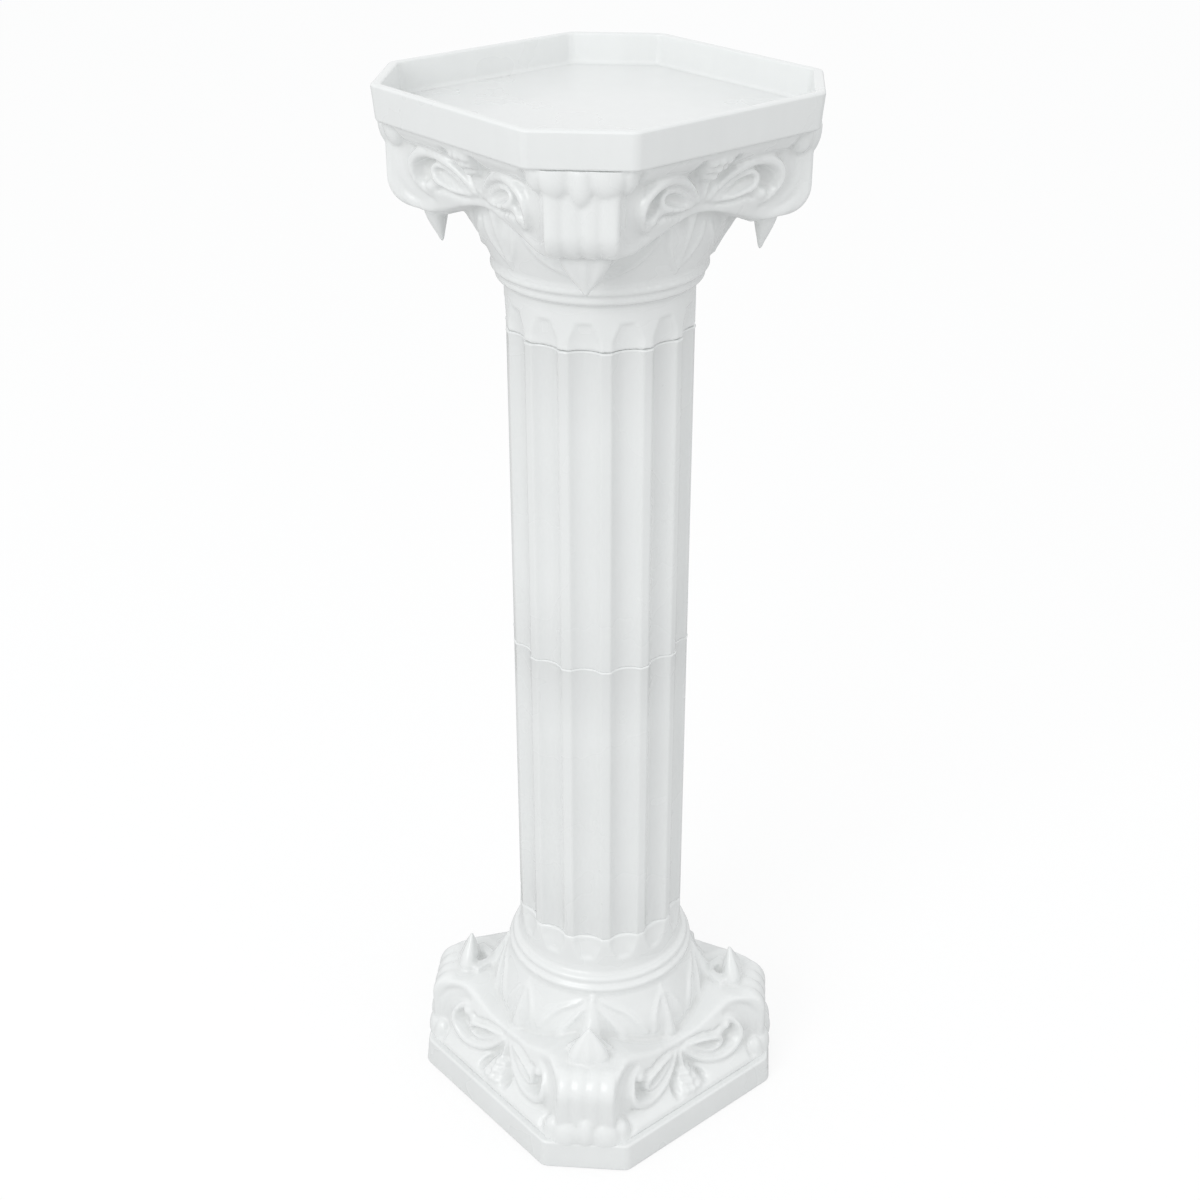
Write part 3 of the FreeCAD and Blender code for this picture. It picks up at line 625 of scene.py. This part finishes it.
def makeCorner():
    # ribbed corner, its round foot and the underside that rises to the bell; +X is its front
    m = moulding
    half, radius = m["cornerHalf"], m["cornerRound"]
    backReach, backDepth, fadeStart, fadeLength = 78, 0.9, 24, 12
    centre = (m["cornerReach"] - radius, m["cornerFoot"] - radius)
    path = [(m["cornerReach"], -2), (m["cornerReach"], centre[1])]
    for turn in np.linspace(0, math.pi / 2, 16)[1:]:
        path.append((centre[0] + radius * math.cos(turn), centre[1] + radius * math.sin(turn)))
    path = np.array(path + [(113, 58.2), (104.5, 56), (96.5, 54.4), (84, 53.6)])
    run = np.concatenate([[0], np.cumsum(np.hypot(*np.diff(path, axis=0).T))])
    bm = bmesh.new()
    bmesh.ops.create_grid(bm, x_segments=96, y_segments=110, size=1)
    ribWidth = 2 * half / m["ribs"]
    for vert in bm.verts:
        s, t = vert.co.x * half, (vert.co.y + 1) / 2 * run[-1]
        reach, depth = np.interp(t, run, path[:, 0]), np.interp(t, run, path[:, 1])
        ahead, behind = min(t + 0.5, run[-1]), max(t - 0.5, 0)
        along = Vector([np.interp(ahead, run, path[:, k]) - np.interp(behind, run, path[:, k])
                        for k in (0, 1)]).normalized()
        share = ((s + half) % ribWidth) / ribWidth * 2 - 1
        rise = m["ribRise"] * (math.sqrt(max(0, 1 - abs(share) ** 2.6)) - 0.6)
        fade = 1 - softStep((t - run[2] - fadeStart) / fadeLength)
        vert.co = Vector((reach + along.y * rise * fade, s, depth - along.x * rise * fade))
    back = bmesh.ops.extrude_face_region(bm, geom=bm.faces[:])
    for item in back["geom"]:
        if isinstance(item, bmesh.types.BMVert):
            item.co.x = backReach
            item.co.z *= backDepth
    bmesh.ops.recalc_face_normals(bm, faces=bm.faces)
    return bm


def addLobe(bm, place, radii, tilt=0.0, turn=0.0):
    # egg-shaped lobe, for petals
    made = bmesh.ops.create_icosphere(bm, subdivisions=4, radius=1)
    matrix = (Matrix.Translation(place) @ Matrix.Rotation(turn, 4, "Z") @ Matrix.Rotation(tilt, 4, "Y")
              @ Matrix.Diagonal((*radii, 1)))
    bmesh.ops.transform(bm, matrix=matrix, verts=made["verts"])


def makePetals():
    # three drooping petals over the ribs, with wings that turn on to the faces
    bm = bmesh.new()
    addLobe(bm, (135.2, 0, 7), (8.2, 9, 16.6), tilt=-0.05)
    for side in (1, -1):
        addLobe(bm, (134.6, side * 15.4, 1.5), (8.4, 12.2, 16.8), turn=side * 0.06)
        addLobe(bm, (129, side * 25.6, 0.5), (8.6, 9, 16), turn=side * 0.6)
    return bm


def makeFang():
    # hanging leaf under the corner: bulging, drawn to a point, streaked on its front
    # stations are (depth, inner reach, outer reach, half width)
    stations = [(50, 100.6, 115, 11), (56, 101, 117.4, 13), (62, 101.4, 117.6, 16), (67, 102, 116.4, 14.4),
                (73, 103, 114, 11), (80, 104.4, 110.6, 6), (85, 105.2, 108.2, 2.4), (88, 105.9, 107, 0.4)]
    top, tip, streaks, streakHeight = stations[0][0], stations[-1][0], 9, 0.6
    table = threaded(stations, 8)
    bm = bmesh.new()
    bmesh.ops.create_grid(bm, x_segments=56, y_segments=44, size=1)
    for vert in bm.verts:
        depth = top + (tip - top) * (vert.co.y + 1) / 2
        inner, outer, half = (np.interp(depth, table[:, 0], table[:, k]) for k in (1, 2, 3))
        front, side = math.cos(vert.co.x * math.pi), math.sin(vert.co.x * math.pi)
        bulge = math.copysign(abs(front) ** 0.75, front)
        streak = streakHeight * math.cos(side * streaks) * max(0, front)
        reach = (inner + outer) / 2 + (outer - inner) / 2 * bulge + streak
        vert.co = Vector((reach, half * side, depth))
    bmesh.ops.remove_doubles(bm, verts=bm.verts, dist=0.02)
    ends = [edge for edge in bm.edges if edge.is_boundary]
    bmesh.ops.holes_fill(bm, edges=ends, sides=0)
    bmesh.ops.recalc_face_normals(bm, faces=bm.faces)
    return bm


def bellRadius(angle, depth):
    # bell with its leaves and rings, by angle (0 is the middle of a face) and depth
    profile = threaded([(36, 86.5), (50, 87.5), (62, 86.5), (70.6, 83.6), (81, 79), (89, 75.6),
                        (93.2, 73.4)], 10)
    base = np.interp(depth, profile[:, 0], profile[:, 1])
    quarter = (angle + math.pi / 4) % (math.pi / 2) - math.pi / 4
    a = np.abs(quarter) * base
    ground, leafEnd, bellEnd = 1.2, 91.5, 93.2
    r = Relief(a, depth, base - ground)

    def at(share, radius):
        # distance round the bell, where share 1 is a corner
        return share * math.pi / 4 * radius

    # leaf behind each hanging leaf, its spine and lobes
    r.ridge([(at(1, 86), 54, 9, 93), (at(1, 84), 62, 8.5, 92.2), (at(1, 82), 70.6, 7, 88),
             (at(1, 79), 78, 5.4, 83.4), (at(1, 75), 89, 2.5, 77.6)], blend=2.5)
    r.ridge([(at(0.86, 84), 84, 1.4, 78), (at(0.76, 84), 72, 2.6, 84), (at(0.66, 84), 60, 3.8, 88),
             (at(0.6, 84), 52, 4, 89)], blend=1.4)
    r.ridge([(at(0.8, 82), 86, 1.2, 77), (at(0.56, 82), 77, 2.4, 81.6), (at(0.42, 84), 66, 3.4, 85.8),
             (at(0.34, 84), 58, 3.2, 87.4)], blend=1.4)
    # middle leaf: curled tip, vein and side lobes
    r.ridge([(0, 42, 4.2, 89.6), (0, 48, 6, 91), (0, 54, 4.8, 89.8), (0, 64, 2.8, 86.8), (0, 78, 1.6, 80.6),
             (0, 88, 1, 76)], blend=1.4)
    r.ridge([(2, 84, 1, 77.6), (9, 74, 2.2, 82.4), (13.5, 64, 3, 86), (14.5, 56, 2.8, 87.2)], blend=1.4)
    height = np.where(depth > leafEnd, base, r.height)
    # two rings over the neck
    neck = np.interp(depth, [bellEnd, 99.3, 107, 113.5, 113.6], [73.4, 70.4, 66.2, 65.2, 65.2])
    rings = Relief(np.zeros_like(depth), depth, np.where(depth < bellEnd, height, neck))
    for place in ((0, 96.6, 2.6, 74.2), (0, 103.4, 3, 71.2)):
        rings.ridge([place, place], blend=0.5, steps=2, fullness=0.9)
    return rings.height


def makeBell():
    # turned body; relief is pressed into it by angle and depth
    steps, rows, top = 448, 120, 36.0
    foot, easing = moulding["fullDepth"], moulding["seamRound"]
    bm = bmesh.new()
    line = [bm.verts.new((70, 0, z)) for z in np.linspace(top, foot, rows)]  # 70 is only a start
    edges = [bm.edges.new(pair) for pair in zip(line, line[1:])]
    bmesh.ops.spin(bm, geom=line + edges, cent=(0, 0, 0), axis=(0, 0, 1), angle=2 * math.pi, steps=steps,
                   use_merge=True)
    points = np.array([vert.co for vert in bm.verts])
    angle = np.arctan2(points[:, 1], points[:, 0])
    radius = bellRadius(angle, points[:, 2])
    radius = radius - moulding["seamInset"] * np.clip((points[:, 2] - foot + easing) / easing, 0, 1) ** 2
    for vert, turn, r in zip(bm.verts, angle, radius):
        vert.co = Vector((r * math.cos(turn), r * math.sin(turn), vert.co.z))
    rims = [edge for edge in bm.edges if edge.is_boundary]
    bmesh.ops.holes_fill(bm, edges=rims, sides=0)
    bmesh.ops.recalc_face_normals(bm, faces=bm.faces)
    return bm


def makeMoulding():
    # bell, core, spigot, four faces and four corners, one through the other, to be fused
    m = moulding
    overlap, taper = 20, 0.2
    whole = makeBell()
    core = bmesh.new()
    bmesh.ops.create_cube(core, size=1)
    bmesh.ops.scale(core, vec=m["core"], verts=core.verts)
    bmesh.ops.translate(core, vec=(0, 0, m["coreMiddle"]), verts=core.verts)
    spigot = bmesh.new()
    bmesh.ops.create_cone(spigot, cap_ends=True, segments=160, radius1=m["spigotRadius"],
                          radius2=m["spigotRadius"] - taper, depth=m["spigot"] + overlap)
    middle = m["fullDepth"] + (m["spigot"] - overlap) / 2
    bmesh.ops.translate(spigot, vec=(0, 0, middle), verts=spigot.verts)
    for part in (core, spigot):
        addInto(whole, part)
        part.free()
    face, corner, petals, fang = makeFace(), makeCorner(), makePetals(), makeFang()
    for quarter in range(4):
        turn = Matrix.Rotation(quarter * math.pi / 2, 4, "Z")
        diagonal = Matrix.Rotation(quarter * math.pi / 2 + math.pi / 4, 4, "Z")
        addInto(whole, face, turn)
        for part in (corner, petals, fang):
            addInto(whole, part, diagonal)
    for part in (face, corner, petals, fang):
        part.free()
    return whole


def makeCavity():
    # one stepped solid: what stands above the wide end, the block's hollow, the bell's and the bore
    bm = bmesh.new()
    wide, cornerCut, above = 170, 60, 30
    face = octagonFace(bm, wide, cornerCut, -above)
    bmesh.ops.duplicate(bm, geom=[face])  # stays behind as the solid's upper end
    face = raiseFace(bm, face, above)
    for half, corner, depth in moulding["cavity"]:
        bottom = face.verts[0].co.z
        insetFace(bm, face, 4)  # any width does, as the points are set next
        for vert, (x, y) in zip(face.verts, octagonPoints(half, corner)):
            vert.co = Vector((x, y, bottom))
        face = raiseFace(bm, face, depth - bottom)
    bmesh.ops.remove_doubles(bm, verts=bm.verts, dist=0.001)
    bmesh.ops.recalc_face_normals(bm, faces=bm.faces)
    return bm


def fluteNeck(mesh, turn):
    # presses the flutes of the neck in line with the drum's, narrower and rounded at their ends
    m = moulding
    innerSide, seamSlack = 60, 0.3  # points within the first radius belong to the bore and the spigot
    flat = np.empty(len(mesh.vertices) * 3)
    mesh.vertices.foreach_get("co", flat)
    points = flat.reshape(-1, 3) / mm
    radius = np.hypot(points[:, 0], points[:, 1])
    angle = np.arctan2(points[:, 1], points[:, 0]) - turn
    down = points[:, 2] - m["fluteStart"]
    narrow = m["endWidth"] + (1 - m["endWidth"]) * softStep(down / m["widening"])
    deep = m["endDepth"] + m["endDepth"] * softStep(down / m["deepening"])
    runIn = np.sqrt(np.clip(1 - (1 - np.clip(down / m["fluteRunIn"], 0, 1)) ** 2, 0, 1))
    cut = (drum["radius"] - shaftRadius(angle, narrow)) * runIn * deep
    onNeck = (radius > innerSide) & (down > 0) & (points[:, 2] < m["fullDepth"] + seamSlack)
    points[:, :2] *= (1 - np.where(onNeck, cut, 0) / np.maximum(radius, 1))[:, None]
    mesh.vertices.foreach_set("co", (points * mm).ravel())


rough = pieceFrom(makeMoulding(), "mouldingRough")
cavity = pieceFrom(makeCavity(), "mouldingCavity")
fuse = rough.modifiers.new("fuse", "REMESH")
fuse.mode = "VOXEL"
fuse.voxel_size = moulding["voxel"] * mm
soften = rough.modifiers.new("soften", "SMOOTH")
soften.iterations = moulding["smoothing"]
soften.factor = 0.5
opened = rough.modifiers.new("opened", "BOOLEAN")
opened.operation = "DIFFERENCE"
opened.solver = "MANIFOLD"
opened.object = cavity
bakeModifiers(rough)
bpy.data.objects.remove(cavity)
print("moulding fused:", len(rough.data.polygons), "faces")

# the capital is the moulding turned over, so its flutes turn the other way before that
for name, flutesTurn, seat in (
        ("capital", -drum["turn"], Matrix.Translation((0, 0, heights["trayFoot"] * mm)) @ turnedOver),
        ("base", drum["turn"], Matrix.Translation((0, 0, heights["plinthTop"] * mm)))):
    piece = bpy.data.objects.new(name + "Ornament", rough.data.copy())
    scene.collection.objects.link(piece)
    fluteNeck(piece.data, math.radians(flutesTurn))
    piece.data.shade_smooth()
    piece.data.set_sharp_from_angle(angle=math.radians(moulding["sharpAngle"]))
    piece.data.transform(seat)
    markSurface(piece, moulding["hollowRounds"], moulding["hollowReach"])
    placed(piece, name, name, ornamentWhite)
bpy.data.objects.remove(rough)
print("moulding placed")


view = {
    "place": (0.8911, -0.7573, 1.0668),
    "heading": (-0.7620, 0.6476),
    "pitch": 28.15,
    "lens": 53.85,
    "sensor": 36,
    "shiftUp": -0.0105,
}


def makeCamera():
    data = bpy.data.cameras.new("camera")
    data.lens = view["lens"]
    data.sensor_width = view["sensor"]
    data.shift_y = view["shiftUp"]
    camera = bpy.data.objects.new("camera", data)
    scene.collection.objects.link(camera)
    camera.location = view["place"]
    down = math.radians(view["pitch"])
    ahead = math.cos(down)
    look = Vector((view["heading"][0] * ahead, view["heading"][1] * ahead, -math.sin(down)))
    camera.rotation_euler = look.to_track_quat("-Z", "Y").to_euler()
    scene.camera = camera


# lamps are (place, aim, size, power)
studio = {
    "ambient": 0.9,
    "ambientColour": (0.985, 0.995, 1.0, 1),
    "floorHalf": 40000,
    "floorShadow": 0.22,
    "floorBounce": (0.62, 0.62, 0.62, 1),
    "key": ((0.7, -2.35, 1.75), (0, 0, 0.4), 1.5, 20.5),
    "fill": ((2.2, 0.9, 1.2), (0, 0, 0.45), 1.6, 3),
}


def makeFloor():
    # seen by the camera the floor is white with a soft shadow; for the object it is a pale grey
    bm = bmesh.new()
    bmesh.ops.create_grid(bm, x_segments=2, y_segments=2, size=studio["floorHalf"])
    floor = pieceFrom(bm, "floor")
    material = bpy.data.materials.new("paleFloor")
    material.use_nodes = True
    tree = material.node_tree
    shader = tree.nodes["Principled BSDF"]
    shader.inputs["Roughness"].default_value = 0.9
    shader.inputs["Specular IOR Level"].default_value = 0.0
    glow = addNode(tree, "ShaderNodeEmission", (0, -300))
    path = addNode(tree, "ShaderNodeLightPath", (-600, 300))
    tint = addNode(tree, "ShaderNodeMix", (-250, 100), data_type="RGBA")
    tint.inputs["A"].default_value = studio["floorBounce"]
    tint.inputs["B"].default_value = (1, 1, 1, 1)
    tree.links.new(path.outputs["Is Camera Ray"], tint.inputs["Factor"])
    tree.links.new(tint.outputs["Result"], shader.inputs["Base Color"])
    seen = mathNode(tree, (-200, 300), "MULTIPLY", path.outputs["Is Camera Ray"], 1 - studio["floorShadow"])
    mix = addNode(tree, "ShaderNodeMixShader", (250, 0))
    tree.links.new(seen, mix.inputs["Fac"])
    tree.links.new(shader.outputs[0], mix.inputs[1])
    tree.links.new(glow.outputs[0], mix.inputs[2])
    tree.links.new(mix.outputs[0], tree.nodes["Material Output"].inputs["Surface"])
    floor.data.materials.append(material)


def addLamp(name, place, aim, size, power):
    data = bpy.data.lights.new(name, "AREA")
    data.size = size
    data.energy = power
    lamp = bpy.data.objects.new(name, data)
    scene.collection.objects.link(lamp)
    lamp.location = place
    lamp.rotation_euler = (Vector(aim) - Vector(place)).to_track_quat("-Z", "Y").to_euler()


def makeStudio():
    world = bpy.data.worlds.new("studio")
    scene.world = world
    world.use_nodes = True
    tree = world.node_tree
    tree.nodes.clear()
    out = addNode(tree, "ShaderNodeOutputWorld", (400, 0))
    mix = addNode(tree, "ShaderNodeMixShader", (200, 0))
    ambient = addNode(tree, "ShaderNodeBackground", (0, 100))
    seen = addNode(tree, "ShaderNodeBackground", (0, -100))
    ambient.inputs["Strength"].default_value = studio["ambient"]
    ambient.inputs["Color"].default_value = studio["ambientColour"]
    seen.inputs["Strength"].default_value = 1.0
    seen.inputs["Color"].default_value = (1, 1, 1, 1)
    path = addNode(tree, "ShaderNodeLightPath", (-500, 300))
    mirrored = mathNode(tree, (-250, 250), "MAXIMUM", path.outputs["Is Camera Ray"],
                        mathNode(tree, (-400, 250), "MAXIMUM", path.outputs["Is Glossy Ray"],
                                 path.outputs["Is Transmission Ray"]))
    tree.links.new(mirrored, mix.inputs["Fac"])
    tree.links.new(ambient.outputs[0], mix.inputs[1])
    tree.links.new(seen.outputs[0], mix.inputs[2])
    tree.links.new(mix.outputs[0], out.inputs[0])
    addLamp("key", *studio["key"])
    addLamp("fill", *studio["fill"])


makeCamera()
makeFloor()
makeStudio()
scene.view_settings.view_transform = "Standard"
print("studio made")
